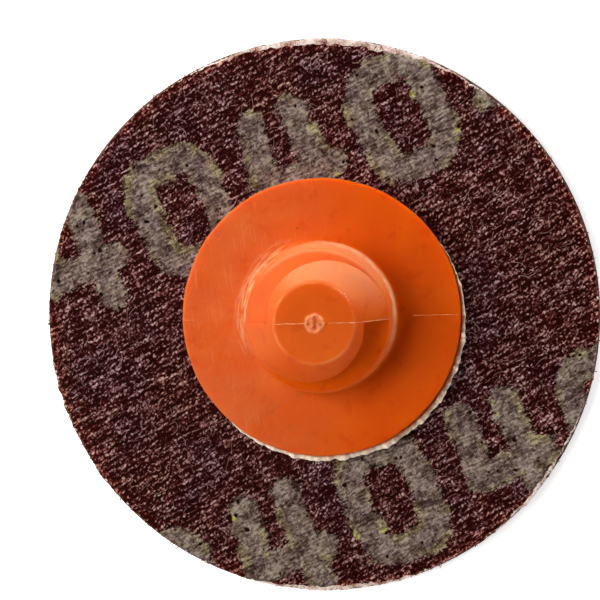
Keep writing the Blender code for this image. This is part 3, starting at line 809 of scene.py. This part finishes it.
# the cloth, with cut yarn ends at its rim
def cutCloth():
    c = clothRim
    low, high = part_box("cloth_backing")
    bottom, top = low.z / mm, high.z / mm
    edge = c["radius"]
    profile = roundedLine([(0, top), (edge - 1, top), (edge, top), (edge, bottom), (0, bottom)],
                          [0.0, 0.08, 0.08], [1, 3, c["rows"], 2], cornerRows=2)
    shape = spunProfile(profile, 40, c["columns"] // 40)
    for vert in shape.verts:
        radius = math.hypot(vert.co.x, vert.co.y) / mm
        if radius < edge - 0.7:
            continue
        angle = math.atan2(vert.co.y, vert.co.x)
        x0, y0 = vert.co.x / mm, vert.co.y / mm
        height = (vert.co.z / mm - bottom) / (top - bottom)
        yarns = math.cos(angle * 2 * math.pi * edge / c["yarnPitch"])
        tuft = noise.noise(Vector((math.cos(angle) * 30, math.sin(angle) * 30, height * 2.2)))
        radius += raggedRim(angle, c["ragged"], 0.3) + c["yarn"] * yarns + 0.05 * tuft
        radius += c["bare"] * bareRim(angle) * (1 + 0.8 * noise.noise(Vector((x0 * 0.5, y0 * 0.5, 3.3))))
        vert.co = Vector((radius * math.cos(angle) * mm, radius * math.sin(angle) * mm, vert.co.z))
    piece = shapeToPiece("cut_cloth", shape, clothYarn())
    return fixToButton(piece, "backing_cloth", "cloth_backing")


# cotton and polyester yarn cut through at the rim: cream, soaked with brown resin from both faces
def clothYarn():
    material, add, place = newMaterial("cutCottonPolyesterCloth")
    patch = add("TexNoise", {"Vector": place, "Scale": 1 / (1.4 * mm), "Detail": 3.0})
    fibre = add("TexNoise", {"Vector": place, "Scale": 1 / (0.12 * mm), "Detail": 3.0})
    mixed = add("Math", fibre, 0.6, patch, operation="MULTIPLY_ADD")
    tone = add("ValToRGB", mixed, stops=[(0.55, "663528"), (0.7, "bb9585"), (0.84, "ead7cc"),
            (1.0, "faf2ee")])
    bump = add("Bump", {"Strength": 0.8, "Distance": 0.05 * mm, "Height": fibre})
    shader = add("BsdfPrincipled", {"IOR": 1.5, "Roughness": 0.85, "Sheen Weight": 0.3, "Base Color": tone,
            "Normal": bump})
    add("OutputMaterial", {"Surface": shader})
    return material


looseFibres = {               # millimetres: loose ones on the back, and short stiff tufts at the rim
    "seed": 7, "thickness": 0.020,
    "onBack": 340, "backReach": (13.0, 24.1), "backLength": (0.5, 1.7),
    "atRim": 800, "rimReach": (24.95, 25.30), "rimLength": (0.16, 0.50), "rimDrop": 0.55,
}


# fibres that bend as they run: long ones flat on the back, short ones out of the rim
def layFibres():
    f = looseFibres
    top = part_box("back_size")[1].z / mm
    chance = random.Random(f["seed"])
    curve = roundStrands("looseFibres", f["thickness"], 0)
    for number in range(f["onBack"] + f["atRim"]):
        atRim = number >= f["onBack"]
        angle = chance.uniform(0, 2 * math.pi)
        if atRim:
            radius = chance.uniform(*f["rimReach"]) - 0.3 * bareRim(angle)
        else:
            radius = math.sqrt(chance.uniform(f["backReach"][0] ** 2, f["backReach"][1] ** 2))
        x, y = radius * math.cos(angle), radius * math.sin(angle)
        heading = angle + chance.gauss(0, 1.1) if atRim else math.radians(chance.gauss(50, 45))
        length = chance.uniform(*f["rimLength"]) if atRim else chance.uniform(*f["backLength"])
        steps = 3 if atRim else 7
        bend = chance.gauss(0, 0.22)
        height = chance.uniform(top - f["rimDrop"], top) if atRim else top + 0.03
        spline = curve.splines.new("POLY")
        spline.points.add(steps - 1)
        for point in spline.points:
            point.co = (x * mm, y * mm, height * mm, 1)
            point.radius = chance.uniform(1.1, 2.6) if atRim else chance.uniform(0.7, 1.2)
            x += math.cos(heading) * length / steps
            y += math.sin(heading) * length / steps
            heading += bend + chance.gauss(0, 0.12)
            height += chance.uniform(-0.01, 0.012)
    piece = bpy.data.objects.new("loose_fibres", curve)
    curve.materials.append(fibreFluff())
    bpy.context.scene.collection.objects.link(piece)
    return fixToButton(piece, "backing_cloth")


# stray cotton fibres, pinkish with resin dust
def fibreFluff():
    material, add, place = newMaterial("resinDustedCottonFibre")
    patch = add("TexNoise", {"Vector": place, "Scale": 1 / (2.2 * mm), "Detail": 2.0})
    tone = add("ValToRGB", patch, stops=[(0.35, "7a5350"), (0.52, "9c7872"), (0.7, "c4a69c")])
    # at the rim they are stiff with rust-brown resin
    soaked = add("TexNoise", {"Vector": place, "Scale": 1 / (0.35 * mm), "Detail": 2.0})
    rust = add("ValToRGB", soaked, stops=[(0.36, "3a120a"), (0.52, "72301f"), (0.66, "a8735c")])
    away = add("VectorMath", place, (1, 1, 0), operation="MULTIPLY")
    radius = add("VectorMath", away, operation="LENGTH").outputs["Value"]
    atRim = add("MapRange", radius, 24.6 * mm, 24.9 * mm)
    both = add("Mix", {0: atRim, 6: tone, 7: rust}, data_type="RGBA")
    shader = add("BsdfPrincipled", {"IOR": 1.5, "Roughness": 0.7, "Base Color": both.outputs[2]})
    add("OutputMaterial", {"Surface": shader})
    return material


grit = {                      # millimetres
    "seed": 11, "pitch": 0.56, "size": 0.30, "shake": 0.16, "roughness": 0.17, "reach": 25.15, "batch": 80,
    "skinRadius": 25.3, "skin": 0.16, "skinRows": 92, "skinColumns": 640,
}


# middles of the grains on a shaken triangular lattice, in millimetres
def gritCentres():
    chance = random.Random(grit["seed"])
    rise = grit["pitch"] * math.sqrt(3) / 2
    lines = int(grit["reach"] / rise)
    centres = []
    for line in range(-lines, lines + 1):
        for place in range(-lines, lines + 1):
            x = (place + 0.5 * (line % 2)) * grit["pitch"] + chance.uniform(-grit["shake"], grit["shake"])
            y = line * rise + chance.uniform(-grit["shake"], grit["shake"])
            size = grit["size"] * chance.uniform(0.75, 1.2)
            if math.hypot(x, y) < grit["reach"]:
                centres.append((x, y, size))
    return centres


# angular grains, each a shaken icosphere; they gather in a small mesh first, which is quicker
def bedGrit(centres):
    chance = random.Random(grit["seed"] + 1)
    shape, patch = bmesh.new(), bmesh.new()
    carrier = bpy.data.meshes.new("gritPatch")
    for number, (x, y, size) in enumerate(centres):
        place = Matrix.Translation((x * mm, y * mm, 0.06 * mm + size * 0.9 * mm))
        angle = chance.uniform(0, math.pi)
        turn = Matrix.Rotation(angle, 4, Vector((chance.gauss(0, 1), chance.gauss(0, 1), 1)))
        stretch = Matrix.Diagonal((chance.uniform(0.75, 1.1), chance.uniform(0.75, 1.1), 1, 1))
        made = bmesh.ops.create_icosphere(patch, subdivisions=1, radius=size * mm,
                                          matrix=place @ turn @ stretch)
        for vert in made["verts"]:
            shake = Vector((chance.gauss(0, 1), chance.gauss(0, 1), chance.gauss(0, 0.7)))
            vert.co += shake * size * grit["roughness"] * mm
            vert.co.z = max(vert.co.z, 0.01 * mm)
        if number % grit["batch"] == grit["batch"] - 1 or number == len(centres) - 1:
            patch.to_mesh(carrier)
            shape.from_mesh(carrier)
            patch.clear()
    patch.free()
    bpy.data.meshes.remove(carrier)
    piece = shapeToPiece("grit_grains", shape, aluminaGrain(), smooth=False)
    return fixToButton(piece, "alumina_grain", "abrasive_grain")


# fused alumina: sharp brown grains, some glassy and pale, others stained by resin
def aluminaGrain():
    material, add, place = newMaterial("fusedAluminaGrain")
    cells = add("TexVoronoi", {"Vector": place, "Scale": 1 / (0.5 * mm)})
    pick = add("SeparateColor", cells.outputs["Color"])
    fine = add("TexNoise", {"Vector": place, "Scale": 1 / (0.15 * mm), "Detail": 2.0})
    mixed = add("Math", fine, 0.35, pick.outputs[0], operation="MULTIPLY_ADD")
    tone = add("ValToRGB", mixed, stops=[(0.1, "2b120d"), (0.55, "56291d"), (0.95, "7d4a38"),
            (1.0, "a97b66")])
    bump = add("Bump", {"Strength": 0.5, "Distance": 0.02 * mm, "Height": fine})
    shader = add("BsdfPrincipled", {"IOR": 1.76, "Roughness": 0.32, "Base Color": tone, "Normal": bump})
    add("OutputMaterial", {"Surface": shader})
    return material


# a resin skin that drapes down over each grain
def pourSizeCoat(centres):
    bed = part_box("abrasive_grain")[1].z / mm
    radius, skin = grit["skinRadius"], grit["skin"]
    nearby = kdtree.KDTree(len(centres))
    for number, (x, y, size) in enumerate(centres):
        nearby.insert((x, y, 0), number)
    nearby.balance()
    profile = roundedLine([(0, bed), (radius, bed), (radius, bed - skin), (0, bed - skin)], [0.05, 0.05],
                          [2, 1, grit["skinRows"]], cornerRows=2)
    shape = spunProfile(profile, 20, grit["skinColumns"] // 20)
    for vert in shape.verts:
        if vert.co.z / mm > bed - 0.1:
            continue
        number, away = nearby.find((vert.co.x / mm, vert.co.y / mm, 0))[1:]
        size = centres[number][2]
        drape = max(0.0, 1 - (away / (size * 1.25)) ** 2)
        vert.co.z -= skin * drape * mm
    piece = shapeToPiece("size_resin", shape, sizeResin())
    return fixToButton(piece, "size_coat_resin", "size_coat")


# phenolic size coat: glassy red-brown resin that wets the grains
def sizeResin():
    material, add, place = newMaterial("phenolicSizeCoat")
    patch = add("TexNoise", {"Vector": place, "Scale": 1 / (2.5 * mm), "Detail": 3.0})
    fine = add("TexNoise", {"Vector": place, "Scale": 1 / (0.2 * mm), "Detail": 2.0})
    tone = add("ValToRGB", patch, stops=[(0.3, "2a0f0a"), (0.7, "4a1d13")])
    bump = add("Bump", {"Strength": 0.4, "Distance": 0.03 * mm, "Height": fine})
    shader = add("BsdfPrincipled", {"IOR": 1.6, "Roughness": 0.28, "Base Color": tone, "Normal": bump})
    add("OutputMaterial", {"Surface": shader})
    return material


# the fill on the cloth and the make coat show as thin lines at the rim
def coatFrameNodes():
    for node, darkHex, lightHex, roughness in (("front_fill", "4b2a20", "8a6656", 0.7),
                                               ("make_coat", "3a160e", "6d3424", 0.4)):
        material, add, place = newMaterial(node + "Resin")
        patch = add("TexNoise", {"Vector": place, "Scale": 1 / (0.5 * mm), "Detail": 4.0})
        tone = add("ValToRGB", patch, stops=[(0.3, darkHex), (0.7, lightHex)])
        bump = add("Bump", {"Strength": 0.6, "Distance": 0.04 * mm, "Height": patch})
        shader = add("BsdfPrincipled", {"IOR": 1.55, "Roughness": roughness, "Base Color": tone,
                "Normal": bump})
        add("OutputMaterial", {"Surface": shader})
        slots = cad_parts[node].data.materials
        slots.clear()
        slots.append(material)


setCamera()
setLights()
setFloor()
print("studio set")
mouldButton()
mouldFlash()
print("button moulded")
meltGlue()
coatBack()
cutCloth()
layFibres()
print("cloth and glue made")
centres = gritCentres()
bedGrit(centres)
pourSizeCoat(centres)
coatFrameNodes()
print("grit bedded:", len(centres), "grains")
